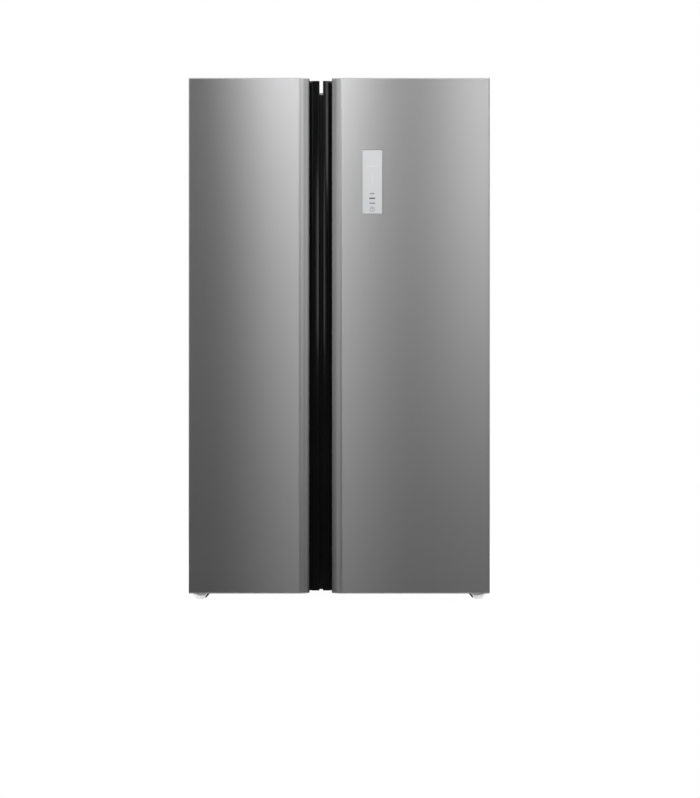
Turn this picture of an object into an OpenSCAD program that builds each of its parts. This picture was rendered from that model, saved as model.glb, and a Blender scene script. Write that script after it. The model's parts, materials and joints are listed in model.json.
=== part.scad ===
// Side by side refrigerator: freezer on the left, fresh food on the right, with recessed
// full-height grips in the gap between the two doors.
// Millimetres, +Z up, the door fronts face -Y, origin on the floor under the middle of the body.

/* [Overall] */
// Width across both doors
body_w = 950; // [940:2:970]
// Height of the door tops above the floor
body_h = 1660; // [1640:10:1700]
// Depth from the door fronts to the wall spacers
body_d = 710; // [700:2:720]

/* [Doors] */
// Offset of the gap between the doors from the middle of the front
gap_x = -57.5; // [-70:0.5:-50]
// Width of the gap between the doors
gap_w = 11; // [10:0.5:12]
// Thickness of a door at its rim
door_t = 70; // [68:1:72]
// Height of the doors' lower edges above the floor
door_z0 = 34; // [34:1:38]
// Width of the left door's dark grip strip
left_strip_w = 31; // [28:0.5:34]
// Width of the right door's dark grip strip
right_strip_w = 28.5; // [28:0.5:34]
// Width of the control display
display_w = 63; // [50:1:80]
// Height of the control display
display_h = 201; // [150:1:230]

/* [Cabinet] */
// Drop of the cabinet top below the door tops
top_drop = 33; // [33:1:36]
// Thickness of the insulated side walls
wall_t = 52; // [50:1:54]
// Thickness of the insulated wall between the compartments
mullion_w = 60; // [58:1:62]
// Spacing of the shelves
shelf_pitch = 272; // [260:1:275]

/* [Running gear] */
// Radius of the rear rollers
roller_r = 19; // [17:0.5:19]
// Radius of the levelling feet where they meet the floor
foot_r = 14; // [12:0.5:16]

/* [Hidden] */
$fn = 48;

// Planes of the body, from front to back.
y_front = -body_d / 2;
y_door = y_front + door_t;
gasket_t = 12;
y_cab = y_door + gasket_t;
spacer_t = 10;
y_back = body_d / 2 - spacer_t;

// Cabinet box and sheet thicknesses.
cab_x = body_w / 2 - 3;
cab_z0 = 60;
cab_z1 = body_h - top_drop;
steel_t = 1;
pan_t = 2;
pan_z0 = 32;
liner_t = 3;

// Compartments: the inner surfaces of the liners.
cav_x = cab_x - wall_t;
cav_z0 = 112;
cav_z1 = cab_z1 - 55;
cav_y1 = y_back - 60;
mullion_x0 = gap_x - mullion_w / 2;
mullion_x1 = gap_x + mullion_w / 2;

// Machine compartment at the back of the base, and the step it makes in the liners.
mach_y0 = 154;
mach_z0 = 46;
mach_z1 = 255;
step_y = 106;
step_z = 298;

// Everything inside the compartments starts behind the door bins.
inner_y0 = y_cab + 115;
freezer_y1 = cav_y1 - 63;
fridge_y1 = cav_y1 - 23;

// Drawers and shelves.
shelf_z = 482;
glass_t = 4;
trim_h = 14;
drawer_wall = 2.5;
lower_drawer_z = [118, 290];
upper_drawer_z = [308, 474];
rail_w = 20;
ledge_w = 10;
drawer_gap = 14;
run_gap = 0.3;

// Doors: distances are from the outer edge and from the front face.
door_z1 = body_h;
left_w = body_w / 2 + gap_x - gap_w / 2;
right_w = body_w / 2 - gap_x - gap_w / 2;
edge_r = 4;
fold_r = 3;
roll_r = 82;
roll_a = 26;
return_v = 26;
cap_t = 3;
top_cap_h = 44;
bottom_cap_h = 25;
pocket_v = 8;
pocket_a = 42;
pocket_h = 22;
pin_a = 25;
pin_v = 38;
pin_r = 5;
run_fit = 0.06;
dike_a = 64;
dike_w = 28;
dike_v = 110;
dike_gap = 12;
bin_v = [76, 185];
bin_h = 105;
bin_wall = 2.5;
bin_z = [170, 560, 950, 1340];
hinge_x = body_w / 2 - pin_a;
hinge_y = y_front + pin_v;
arm_r = 9;
gasket_a = 28;
gasket_w = 16;
gasket_end = 7;
gasket_z = 30;

// Control display on the right door: its middle, from the body's origin.
display_x = 104;
display_z = 1332;
display_t = 9;

// Dairy compartment on the right door.
dairy_z = 1340;
dairy_h = 70;
lid_pin_v = 84;
lid_pin_z = 1428;
lid_pin_r = 3;
lid_t = 2.5;
lid_drop = 16;
lid_reach = 100;

// Feet, rollers and fans.
foot_x = body_w / 2 - 26;
foot_y = y_cab + 13;
stud_r = 5;
roller_x = 430;
roller_y = 300;
roller_w = 20;
axle_r = 4;
cond_fan = [34, 250, 148];
evap_fan = [(mullion_x0 - cav_x) / 2, 240, 830];
fan_shaft_r = 3;

// Points of an arc about (cx, cy), from angle a0 to a1.
function arc(cx, cy, r, a0, a1, n = 8) =
    [for (i = [0:n]) let (a = a0 + (a1 - a0) * i / n) [cx + r * cos(a), cy + r * sin(a)]];
function reversed(list) = [for (i = [len(list) - 1:-1:0]) list[i]];

// A box between two opposite corners.
module block(lo, hi) {
    translate(lo) cube(hi - lo);
}

// Both sides of something drawn on the right.
module both_sides() {
    children();
    mirror([1, 0, 0]) children();
}

// A round rod between two points.
module rod(a, b, r) {
    d = b - a;
    translate(a)
        rotate([0, acos(d[2] / norm(d)), atan2(d[1], d[0])]) cylinder(r = r, h = norm(d));
}

// ---------------------------------------------------------------- cabinet

module cabinet_shell() color("silver") {
    // Wrapped steel sides and top with a front flange that the gaskets seal against.
    difference() {
        block([-cab_x, y_cab, cab_z0], [cab_x, y_back, cab_z1]);
        block([-cab_x + steel_t, y_cab + steel_t, cab_z0 - 1],
              [cab_x - steel_t, y_back + 1, cab_z1 - steel_t]);
        for (span = [[-cav_x, mullion_x0], [mullion_x1, cav_x]])
            block([span[0] - liner_t, y_cab - 1, cav_z0 - liner_t],
                  [span[1] + liner_t, y_cab + 2 * steel_t, cav_z1 + liner_t]);
    }
}

module back_panel() color("gainsboro") {
    // Flat rear sheet with two upright ribs that keep the body off the wall.
    sheet_z0 = mach_z1 + 41;
    block([-cab_x + steel_t, y_back - steel_t, sheet_z0],
          [cab_x - steel_t, y_back, cab_z1 - steel_t]);
    both_sides() block([330, y_back, 700], [360, y_back + spacer_t, 1400]);
}

// Outline of a compartment seen from the side, grown outwards by g.
function cavity_side(g) = [
    [y_cab, cav_z0 - g], [step_y + g, cav_z0 - g], [step_y + g, step_z - g],
    [cav_y1 + g, step_z - g], [cav_y1 + g, cav_z1 + g], [y_cab, cav_z1 + g]
];

// A compartment's volume between x0 and x1, grown by g; front opens it towards the doors.
module cavity(x0, x1, g = 0, front = 0) {
    side = cavity_side(g);
    opened = [for (p = side) p[0] == y_cab ? [y_cab - front, p[1]] : p];
    translate([x0 - g, 0, 0]) rotate([90, 0, 90]) linear_extrude(x1 - x0 + 2 * g) polygon(opened);
}

module cabinet_foam() color("khaki") {
    // Foam poured between the shell and the liners, clear of the machine compartment.
    difference() {
        block([-cab_x + steel_t, y_cab + steel_t, cab_z0],
              [cab_x - steel_t, y_back - steel_t, cab_z1 - steel_t]);
        cavity(-cav_x, mullion_x0, liner_t, 1);
        cavity(mullion_x1, cav_x, liner_t, 1);
        block([-cab_x, mach_y0, cab_z0 - 1], [cab_x, y_back, mach_z1]);
        block([-cab_x, y_back - 2 * steel_t, cab_z0], [cab_x, y_back, mach_z1 + 41]);
    }
}

// Moulded liner with side rails for the drawers and ledges for the shelves.
module liner(x0, x1, y1) {
    difference() {
        cavity(x0, x1, liner_t);
        cavity(x0, x1, 0, 1);
    }
    for (side = [0, 1]) {
        a = side == 0 ? x0 : x1 - rail_w;
        b = side == 0 ? x0 : x1 - ledge_w;
        block([a, inner_y0 + 5, cav_z0], [a + rail_w, step_y, lower_drawer_z[0] - run_gap]);
        block([a, inner_y0 + 5, upper_drawer_z[0] - 8],
              [a + rail_w, y1 - 4, upper_drawer_z[0] - run_gap]);
        for (i = [0:3])
            block([b, inner_y0 + 14, shelf_z + i * shelf_pitch - 9],
                  [b + ledge_w, y1 - 4, shelf_z + i * shelf_pitch]);
    }
}

module freezer_liner() color("white") liner(-cav_x, mullion_x0, freezer_y1);

module fridge_liner() color("white") liner(mullion_x1, cav_x, fridge_y1);

module base_pan() color("dimgray") {
    // Pressed base with a front lip, a floor for the machine parts and the roller brackets.
    difference() {
        block([-cab_x, y_cab, pan_z0], [cab_x, y_back, cab_z0]);
        block([-cab_x + pan_t, y_cab + pan_t, pan_z0 - 1],
              [cab_x - pan_t, mach_y0, cab_z0 - pan_t]);
        block([-cab_x + pan_t, mach_y0 - 1, pan_z0 - 1],
              [cab_x - pan_t, y_back + 1, mach_z0 - pan_t]);
        block([-cab_x + pan_t, mach_y0 + pan_t, mach_z0],
              [cab_x - pan_t, y_back + 1, cab_z0 + 1]);
    }
    both_sides() {
        for (x = [roller_x - roller_w / 2 - 4, roller_x + roller_w / 2 + 1])
            block([x, roller_y - 14, 10], [x + 3, roller_y + 14, mach_z0 - pan_t]);
        translate([roller_x - roller_w / 2 - 3, roller_y, roller_r])
            rotate([0, 90, 0]) cylinder(r = axle_r, h = roller_w + 6);
    }
}

module machine_cover() color("silver") {
    // Louvred rear cover with the gland that the supply lead comes through.
    cover_x = cab_x - 4;
    gland = [380, y_back - 3, 90];
    difference() {
        union() {
            block([-cover_x, y_back - 2, mach_z0 + 3], [cover_x, y_back, mach_z1 + 39]);
            translate(gland) rotate([-90, 0, 0]) cylinder(r = 14, h = 9);
        }
        translate([gland[0], gland[1] - 1, gland[2]])
            rotate([-90, 0, 0]) cylinder(r = 5, h = 12);
        for (row = [0:8], column = [-3, -2, -1, 0, 1, 2])
            block([column * 120 + 10, y_back - 4, 76 + row * 18],
                  [column * 120 + 110, y_back + 1, 82 + row * 18]);
    }
}

// ---------------------------------------------------------------- hinges and feet

module upper_hinges() color("gray") {
    // Cranked plate on the cabinet top whose pin turns down into the door.
    arm_z = door_z1 - pocket_h + 3;
    both_sides() {
        block([hinge_x - 25, y_cab + 8, cab_z1], [hinge_x + 18, y_cab + 92, cab_z1 + 4]);
        block([hinge_x - arm_r, y_cab + 8, cab_z1 + 4],
              [hinge_x + arm_r, y_cab + 14, arm_z + 4]);
        block([hinge_x - arm_r, hinge_y, arm_z], [hinge_x + arm_r, y_cab + 14, arm_z + 4]);
        translate([hinge_x, hinge_y, arm_z]) cylinder(r = arm_r, h = 4);
        translate([hinge_x, hinge_y, arm_z - 22]) cylinder(r = pin_r, h = 22);
    }
}

module hinge_covers() color("darkgray") {
    // Snap-on plastic hoods over the upper hinges.
    hood_z1 = door_z1 - 3;
    arm_top = door_z1 - pocket_h + 7.3;
    both_sides() difference() {
        union() {
            block([hinge_x - 32, y_cab + 3, cab_z1], [cab_x, y_cab + 108, hood_z1]);
            block([hinge_x - arm_r, hinge_y, arm_top], [hinge_x + arm_r, y_cab + 4, hood_z1 - 6]);
            translate([hinge_x, hinge_y, arm_top])
                cylinder(r = arm_r, h = hood_z1 - 6 - arm_top);
        }
        block([hinge_x - 29.5, y_cab + 5.5, cab_z1 - 1],
              [cab_x - 2.5, y_cab + 105.5, hood_z1 - 2.5]);
        block([hinge_x - arm_r - 0.5, y_cab, cab_z1 + 6],
              [hinge_x + arm_r + 0.5, y_cab + 8, arm_top]);
    }
}

module lower_hinges() color("dimgray") {
    // Floor-level plate that carries the door on an upright pin and holds the foot's stud.
    stay_y = hinge_y + 20;
    both_sides() difference() {
        union() {
            block([hinge_x - 25, y_cab, pan_z0 - 4], [cab_x - 1, y_cab + 60, pan_z0]);
            block([hinge_x - 14, hinge_y, pan_z0 - 4], [hinge_x + 14, y_cab + 1, pan_z0]);
            translate([hinge_x, hinge_y, pan_z0 - 4]) cylinder(r = 14, h = 4);
            translate([hinge_x, hinge_y, pan_z0]) cylinder(r = 9, h = door_z0 - pan_z0 - 0.3);
            translate([hinge_x, hinge_y, pan_z0]) cylinder(r = pin_r, h = 18);
            // Ear with a sloping stay in front of the foot.
            block([hinge_x - 42, stay_y, pan_z0 - 4], [hinge_x, stay_y + 6, pan_z0]);
            translate([0, stay_y + 6, 0]) rotate([90, 0, 0]) linear_extrude(6)
                polygon([[hinge_x - 42, pan_z0 - 3], [hinge_x - 25, 10], [hinge_x - 20, 10],
                         [hinge_x - 34, pan_z0 - 3]]);
        }
        translate([foot_x, foot_y, pan_z0 - 5]) cylinder(r = stud_r + run_fit, h = 6);
    }
}

// Levelling foot on its threaded stud.
module foot() {
    translate([foot_x, foot_y, 0]) {
        rotate_extrude() polygon([[0, 0], [foot_r - 1, 0], [foot_r, 1.5], [foot_r, 6],
                                  [23, 9.5], [24, 11], [24, 16], [22, 18], [0, 18]]);
        translate([0, 0, 17]) cylinder(r = stud_r, h = 29);
    }
}

module foot_right() color("whitesmoke") foot();

module foot_left() color("whitesmoke") mirror([1, 0, 0]) foot();

module rear_roller(side) color("white")
    translate([side * roller_x, roller_y, roller_r]) rotate([0, 90, 0]) difference() {
        cylinder(r = roller_r, h = roller_w - 1, center = true);
        cylinder(r = axle_r + run_fit, h = roller_w + 2, center = true);
    }

// ---------------------------------------------------------------- refrigeration

module compressor() color("black") {
    // Welded steel pot on four rubber mounts, with its starter box.
    r = 72;
    translate([-230, 250, mach_z0]) {
        translate([0, 0, 14]) rotate_extrude()
            polygon(concat([[0, 0], [r - 12, 0]], arc(r - 12, 12, 12, -90, 0, 4),
                           arc(r - 40, 110, 40, 0, 90, 8), [[0, 150]]));
        translate([-80, -75, 8]) cube([160, 150, 8]);
        for (x = [-66, 66], y = [-61, 61]) translate([x, y, 0]) cylinder(r = 11, h = 8);
        translate([-96, -26, 50]) cube([34, 52, 56]);
    }
}

module condenser() color("dimgray") {
    // Tube runs through thin fins, between two end plates.
    x0 = 110;
    x1 = 400;
    tubes = [for (z = [0:3], y = [0:2]) [184 + y * 56, 80 + z * 44]];
    for (p = tubes) translate([x0, p[0], p[1]]) rotate([0, 90, 0]) cylinder(r = 5, h = x1 - x0);
    for (x = [x0, x1 - 3]) block([x, 168, mach_z0], [x + 3, 312, 236]);
    for (i = [1:14]) block([x0 + i * 19.2, 172, 66], [x0 + i * 19.2 + 0.8, 308, 228]);
}

module condenser_fan_frame() color("black") {
    // Square shroud with a motor on three arms.
    c = cond_fan;
    difference() {
        block([c[0] - 14, 164, mach_z0], [c[0] + 14, 336, 236]);
        translate([c[0] - 15, c[1], c[2]]) rotate([0, 90, 0]) cylinder(r = 78, h = 30);
    }
    for (a = [90, 210, 330])
        translate([c[0] + 9, c[1], c[2]]) rotate([a, 0, 0]) translate([0, -5, 0]) cube([4, 10, 80]);
    translate([c[0] + 8, c[1], c[2]]) rotate([0, 90, 0]) cylinder(r = 24, h = 36);
    translate([c[0] - 12, c[1], c[2]]) rotate([0, 90, 0]) cylinder(r = fan_shaft_r, h = 24);
}

// Fan rotor about the X axis, with its hub bored for the motor shaft.
module rotor(r, hub_r, h, blades) {
    difference() {
        union() {
            rotate([0, 90, 0]) cylinder(r = hub_r, h = h, center = true);
            for (i = [0:blades - 1]) rotate([i * 360 / blades, 0, 0])
                translate([0, 0, hub_r - 2]) rotate([0, 0, 35])
                    translate([-0.8, -h * 0.8, 0]) cube([1.6, h * 1.6, r - hub_r]);
        }
        rotate([0, 90, 0]) cylinder(r = fan_shaft_r + run_fit, h = h + 2, center = true);
    }
}

module condenser_fan() color("lightgray") translate(cond_fan) rotor(73, 20, 16, 5);

module drain_pan() color("lightgray") {
    // Open tray where the defrost water evaporates.
    difference() {
        block([-140, 168, mach_z0], [6, 330, 84]);
        block([-137.5, 170.5, mach_z0 + 2.5], [3.5, 327.5, 85]);
    }
}

module refrigerant_pipes() color("peru") {
    // Discharge line over the fan to the condenser, and the return with its filter drier.
    r = 4;
    discharge = [[-230, 200, 204], [-230, 200, 246], [90, 200, 246], [90, 184, 212], [110, 184, 212]];
    liquid = [[400, 296, 80], [424, 296, 80], [424, 296, 220], [424, 200, 246]];
    for (line = [discharge, liquid]) {
        for (i = [0:len(line) - 2]) rod(line[i], line[i + 1], r);
        for (i = [1:len(line) - 2]) translate(line[i]) sphere(r + 1);
    }
    translate([424, 296, 110]) cylinder(r = 11, h = 80);
}

module evaporator() color("lightsteelblue") {
    // Finned coil behind the freezer's rear cover, with the defrost heater under it.
    x0 = -398;
    x1 = mullion_x0 - 22;
    for (z = [0:5], y = [0, 1]) translate([x0, 242 + y * 26, 420 + z * 50])
        rotate([0, 90, 0]) cylinder(r = 4, h = x1 - x0);
    for (x = [x0, x1 - 2]) block([x, 230, 380], [x + 2, cav_y1, 700]);
    for (i = [1:14]) block([x0 + i * 19, 232, 404], [x0 + i * 19 + 0.6, 279, 690]);
    translate([x0, 256, 388]) rotate([0, 90, 0]) cylinder(r = 3, h = x1 - x0);
}

module evaporator_cover() color("white") {
    // Rear wall of the freezer, with the fan's grille and rows of air outlets.
    c = evap_fan;
    y0 = freezer_y1 + 5;
    difference() {
        block([-cav_x + 0.5, y0, step_z + 0.5], [mullion_x0 - 0.5, y0 + 3, cav_z1 - 0.5]);
        for (i = [-4:4]) let (half = sqrt(2500 - i * i * 100))
            block([c[0] - half, y0 - 1, c[2] + i * 10 - 2.5], [c[0] + half, y0 + 4, c[2] + i * 10 + 2.5]);
        for (z = [620, 940, 1210, 1480], x = [-110, -40, 30])
            block([c[0] + x, y0 - 1, z], [c[0] + x + 50, y0 + 4, z + 14]);
    }
    // Motor on its cross bar.
    for (x = [c[0] - 76, c[0] + 70]) block([x, y0 + 3, c[2] - 8], [x + 6, y0 + 36, c[2] + 8]);
    block([c[0] - 76, y0 + 33, c[2] - 8], [c[0] + 76, y0 + 36, c[2] + 8]);
    translate([c[0], y0 + 25, c[2]]) rotate([-90, 0, 0]) cylinder(r = 20, h = 28);
    translate([c[0], y0 + 5, c[2]]) rotate([-90, 0, 0]) cylinder(r = fan_shaft_r, h = 22);
}

module evaporator_fan() color("dimgray") translate(evap_fan) rotate([0, 0, 90]) rotor(54, 15, 12, 5);

module fridge_air_duct() color("white") {
    // Slim tower on the rear wall that feeds cold air to each shelf.
    x0 = 124;
    x1 = 268;
    y0 = fridge_y1 + 3;
    difference() {
        block([x0, y0, 330], [x1, cav_y1, 1530]);
        block([x0 + 2.5, y0 + 2.5, 328], [x1 - 2.5, cav_y1 + 1, 1527.5]);
        for (i = [0:3], x = [x0 + 18, x1 - 62])
            block([x, y0 - 1, 640 + i * shelf_pitch], [x + 44, y0 + 4, 654 + i * shelf_pitch]);
    }
}

module control_board_cover() color("gray") {
    // Shallow box on the rear sheet that holds the main board.
    block([60, y_back, 1420], [280, y_back + 8, 1570]);
}

// ---------------------------------------------------------------- shelves, lamps and drawers

// Glass shelf with a moulded front trim and rear stop.
module shelf(x0, x1, y1, z) {
    color("lightcyan") block([x0 + 2, inner_y0 + 14, z], [x1 - 2, y1 - 8, z + glass_t]);
    color("white") {
        difference() {
            block([x0 + 2, inner_y0, z - 6], [x1 - 2, inner_y0 + 22, z + trim_h - 6]);
            block([x0 + 1, inner_y0 + 14, z - 7], [x1 - 1, inner_y0 + 23, z + glass_t]);
        }
        block([x0 + 2, y1 - 8, z], [x1 - 2, y1, z + trim_h]);
    }
}

module freezer_shelf(i) shelf(-cav_x, mullion_x0, freezer_y1, shelf_z + i * shelf_pitch);

module fridge_shelf(i) shelf(mullion_x1, cav_x, fridge_y1, shelf_z + i * shelf_pitch);

module interior_lamps() color("white") {
    // Light bars in the ceilings of both compartments.
    block([-300, -110, cav_z1 - 7], [-208, -70, cav_z1]);
    block([90, -110, cav_z1 - 7], [302, -70, cav_z1]);
}

// Open drawer with a thick front and a grip lip along its top.
module drawer(x0, x1, y1, z) {
    side = drawer_gap;
    grip = 140;
    mid = (x0 + x1) / 2;
    difference() {
        union() {
            block([x0 + side, inner_y0 + 9, z[0]], [x1 - side, y1, z[1] - 12]);
            block([x0 + side, inner_y0 + 3, z[0]], [x1 - side, inner_y0 + 11, z[1]]);
        }
        block([x0 + side + drawer_wall, inner_y0 + 11, z[0] + drawer_wall],
              [x1 - side - drawer_wall, y1 - drawer_wall, z[1] + 1]);
        block([mid - grip / 2, inner_y0 + 2, z[1] - 22], [mid + grip / 2, inner_y0 + 12, z[1] + 1]);
    }
}

module freezer_drawer_upper() color("aliceblue")
    drawer(-cav_x, mullion_x0, freezer_y1, upper_drawer_z);

module freezer_drawer_lower() color("aliceblue")
    drawer(-cav_x, mullion_x0, step_y - 6, lower_drawer_z);

module crisper_upper() color("aliceblue") drawer(mullion_x1, cav_x, fridge_y1, upper_drawer_z);

module crisper_lower() color("aliceblue") drawer(mullion_x1, cav_x, step_y - 6, lower_drawer_z);

// ---------------------------------------------------------------- doors
// A door is drawn as the left one, from its outer front edge: X runs towards the gap,
// Y backwards. w is the whole width and s the dark strip's.

module place_left() translate([-body_w / 2, y_front, 0]) children();

module place_right() translate([body_w / 2, y_front, 0]) mirror([1, 0, 0]) children();

// The steel face, inset by d: round outer edge, flat front, a gentle roll and a tight fold.
function face(skin_w, d) =
    let (turn = skin_w - fold_r * (1 - sin(roll_a)) - roll_r * sin(roll_a),
         drop = roll_r * (1 - cos(roll_a)) + fold_r * cos(roll_a))
    concat(arc(edge_r, edge_r, edge_r - d, 180, 270, 5),
           arc(turn, roll_r, roll_r - d, 270, 270 + roll_a, 10),
           arc(skin_w - fold_r, drop, fold_r - d, 270 + roll_a, 360, 4));

// Room side of the grip channel and its back, where s is the distance from the fold.
function grip_front(w, k) = [
    [k - 1, return_v], [k - 13, return_v + 1], [k - 16, return_v + 4], [k - 16, 48], [k - 11, 53],
    [k + 3, 53], [k + 9, 50], [w - 2, 49.5], [w, 51.5], [w, door_t]
];
function grip_back(w, k, v, end) = [
    [w - 2.5, v], [w - 2.5, 52.5], [k + 9.6, 52.5], [k + 3.6, 55.5], [k - 12, 55.5],
    [k - 18.5, 49], [k - 18.5, return_v + 3], [k - 14, return_v - 1.5], [end, return_v - 2.5]
];

module door_pocket(h) {
    block([-1, pocket_v, door_z1 - h], [pocket_a, door_t + 1, door_z1 + 1]);
}

module door_panel(w, s) {
    k = w - s;
    outer = concat([[0, door_t - 4]], face(k, 0), [[k, return_v]]);
    inner = concat([[steel_t, door_t - 4]], face(k, steel_t), [[k - steel_t, return_v]]);
    difference() {
        translate([0, 0, door_z0 + cap_t]) linear_extrude(door_z1 - door_z0 - 2 * cap_t)
            polygon(concat(outer, reversed(inner)));
        door_pocket(pocket_h + cap_t);
    }
}

// Plan of what lies inside the steel face, inset by d and back to depth v.
module door_plan(w, s, d, v) {
    k = w - s;
    polygon(concat([[d, v]], face(k, d), d == 0 ? [[k, return_v - 2.5]] : [],
                   reversed(grip_back(w, k, v, k - steel_t))));
}

module door_caps(w, s) {
    back = door_t - 4;
    plug = steel_t;
    difference() {
        union() {
            translate([0, 0, door_z1 - cap_t]) linear_extrude(cap_t) door_plan(w, s, 0, door_t);
            translate([0, 0, door_z1 - top_cap_h]) linear_extrude(top_cap_h - cap_t)
                door_plan(w, s, plug, back);
        }
        door_pocket(pocket_h);
        translate([pin_a, pin_v, door_z1 - pocket_h - 21])
            cylinder(r = pin_r + run_fit, h = 22);
    }
    difference() {
        union() {
            translate([0, 0, door_z0]) linear_extrude(cap_t) door_plan(w, s, 0, door_t);
            translate([0, 0, door_z0 + cap_t]) linear_extrude(bottom_cap_h - cap_t)
                door_plan(w, s, plug, back);
        }
        translate([pin_a, pin_v, door_z0 - 1]) cylinder(r = pin_r + run_fit, h = 19);
    }
}

// The raised ring on a door's inner face, inset by d all round.
module dike(w, wall, v0, d) {
    a1 = wall - dike_gap;
    z0 = cav_z0 + 8;
    z1 = cav_z1 - 8;
    difference() {
        block([dike_a + d, v0, z0 + d], [a1 - d, dike_v - d, z1 - d]);
        block([dike_a + dike_w - d, v0 - 1, z0 + dike_w - d],
              [a1 - dike_w + d, dike_v + 1, z1 - dike_w + d]);
    }
}

// A door's foam: the slab between its skins, cut into three blocks around the grip channel,
// and the frame that fills the liner's ring.
module door_foam(w, s, wall) {
    cut = w - s - 18.5;
    for (part = [[[0, 0], [cut - 0.1, door_t]],
                 [[cut + 0.1, 0], [w, return_v + 12]],
                 [[cut + 0.1, return_v + 12], [w, door_t]]])
        translate([0, 0, door_z0 + bottom_cap_h])
            linear_extrude(door_z1 - door_z0 - bottom_cap_h - top_cap_h)
                intersection() {
                    door_plan(w, s, steel_t, door_t - 4);
                    translate(part[0]) square(part[1] - part[0]);
                }
    dike(w, wall, door_t - 3.8, liner_t);
}

// Vacuum-formed inner face with its ring and the lugs that the bins hang on.
module door_liner(w, wall, shelves) {
    difference() {
        union() {
            block([0, door_t - 4, door_z0 + cap_t], [w - 2.5, door_t, door_z1 - cap_t]);
            dike(w, wall, door_t - 1, 0);
        }
        dike(w, wall, door_t - 5, liner_t);
        door_pocket(pocket_h + cap_t);
    }
    for (z = shelves, a = [dike_a + dike_w, wall - dike_gap - dike_w - 9])
        block([a, door_t + 12, z - 14], [a + 9, dike_v - 6, z - 0.2]);
}

// Magnetic seal round a door's inner face.
module gasket(w) color("lightgray") {
    z0 = cav_z0 - gasket_z;
    z1 = cav_z1 + gasket_z;
    a1 = w - gasket_end;
    difference() {
        block([gasket_a, door_t, z0], [a1, door_t + gasket_t - 0.2, z1]);
        block([gasket_a + gasket_w, door_t - 1, z0 + gasket_w],
              [a1 - gasket_w, door_t + gasket_t, z1 - gasket_w]);
    }
}

module handle(w, s) color("black") {
    k = w - s;
    translate([0, 0, door_z0]) linear_extrude(door_z1 - door_z0)
        polygon(concat(grip_front(w, k), grip_back(w, k, door_t, k - 1)));
}

// Distances from a door's outer edge to its compartment's far wall.
left_wall = body_w / 2 + mullion_x0;
right_wall = body_w / 2 - mullion_x1;

// Clear bin between the sides of a door's ring.
module bin(wall, z, h = bin_h) {
    a0 = dike_a + dike_w + 0.5;
    a1 = wall - dike_gap - dike_w - 0.5;
    difference() {
        block([a0, bin_v[0], z], [a1, bin_v[1], z + h]);
        block([a0 + bin_wall, bin_v[0] + bin_wall, z + bin_wall],
              [a1 - bin_wall, bin_v[1] - bin_wall, z + h + 1]);
    }
}

module left_bin(i) color("aliceblue") place_left() bin(left_wall, bin_z[i]);

module right_bin(i) color("aliceblue") place_right() bin(right_wall, bin_z[i]);

module left_door_panel() color("silver") place_left() door_panel(left_w, left_strip_w);

module left_door_caps() color("gray") place_left() door_caps(left_w, left_strip_w);

module left_door_foam() color("khaki") place_left() door_foam(left_w, left_strip_w, left_wall);

module left_door_liner() color("white") place_left() door_liner(left_w, left_wall, bin_z);

module left_gasket() place_left() gasket(left_w);

module left_handle() place_left() handle(left_w, left_strip_w);

// Pocket in the right door for the display, grown by g and sunk to depth v.
module display_hole(g, v) {
    block([display_x - display_w / 2 - g, y_front - 1, display_z - display_h / 2 - g],
          [display_x + display_w / 2 + g, y_front + v, display_z + display_h / 2 + g]);
}

module right_door_panel() color("silver") difference() {
    place_right() door_panel(right_w, right_strip_w);
    display_hole(0.8, steel_t + 1);
}

module right_door_caps() color("gray") place_right() door_caps(right_w, right_strip_w);

module right_door_foam() color("khaki") difference() {
    place_right() door_foam(right_w, right_strip_w, right_wall);
    display_hole(0.8, display_t + 1);
}

module right_door_liner() color("white") place_right()
    door_liner(right_w, right_wall, [for (i = [0:2]) bin_z[i], dairy_z]);

module right_gasket() place_right() gasket(right_w);

module right_handle() place_right() handle(right_w, right_strip_w);

module display_panel() color("lightgray") {
    block([display_x - display_w / 2, y_front + 0.5, display_z - display_h / 2],
          [display_x + display_w / 2, y_front + display_t + 1, display_z + display_h / 2]);
}

module dairy_bin() color("aliceblue") place_right() {
    a0 = dike_a + dike_w + 0.5;
    a1 = right_wall - dike_gap - dike_w - 0.5;
    difference() {
        union() {
            bin(right_wall, dairy_z, dairy_h);
            for (a = [a0, a1 - 5])
                block([a, bin_v[0], dairy_z], [a + 5, bin_v[0] + 18, lid_pin_z + 8]);
        }
        translate([a0 - 1, lid_pin_v, lid_pin_z]) rotate([0, 90, 0])
            cylinder(r = lid_pin_r + run_fit, h = a1 - a0 + 2);
    }
}

module dairy_cover() color("aliceblue") place_right() {
    // Flip-up lid: a top, a hanging front and two pivot stubs.
    a0 = dike_a + dike_w + 6;
    a1 = right_wall - dike_gap - dike_w - 6;
    block([a0, lid_pin_v, lid_pin_z], [a1, lid_pin_v + lid_reach, lid_pin_z + lid_t]);
    block([a0, lid_pin_v + lid_reach - lid_t, lid_pin_z - lid_drop + lid_t],
          [a1, lid_pin_v + lid_reach, lid_pin_z + lid_t]);
    translate([a0 - 5, lid_pin_v, lid_pin_z]) rotate([0, 90, 0])
        cylinder(r = lid_pin_r, h = a1 - a0 + 10);
}

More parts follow.
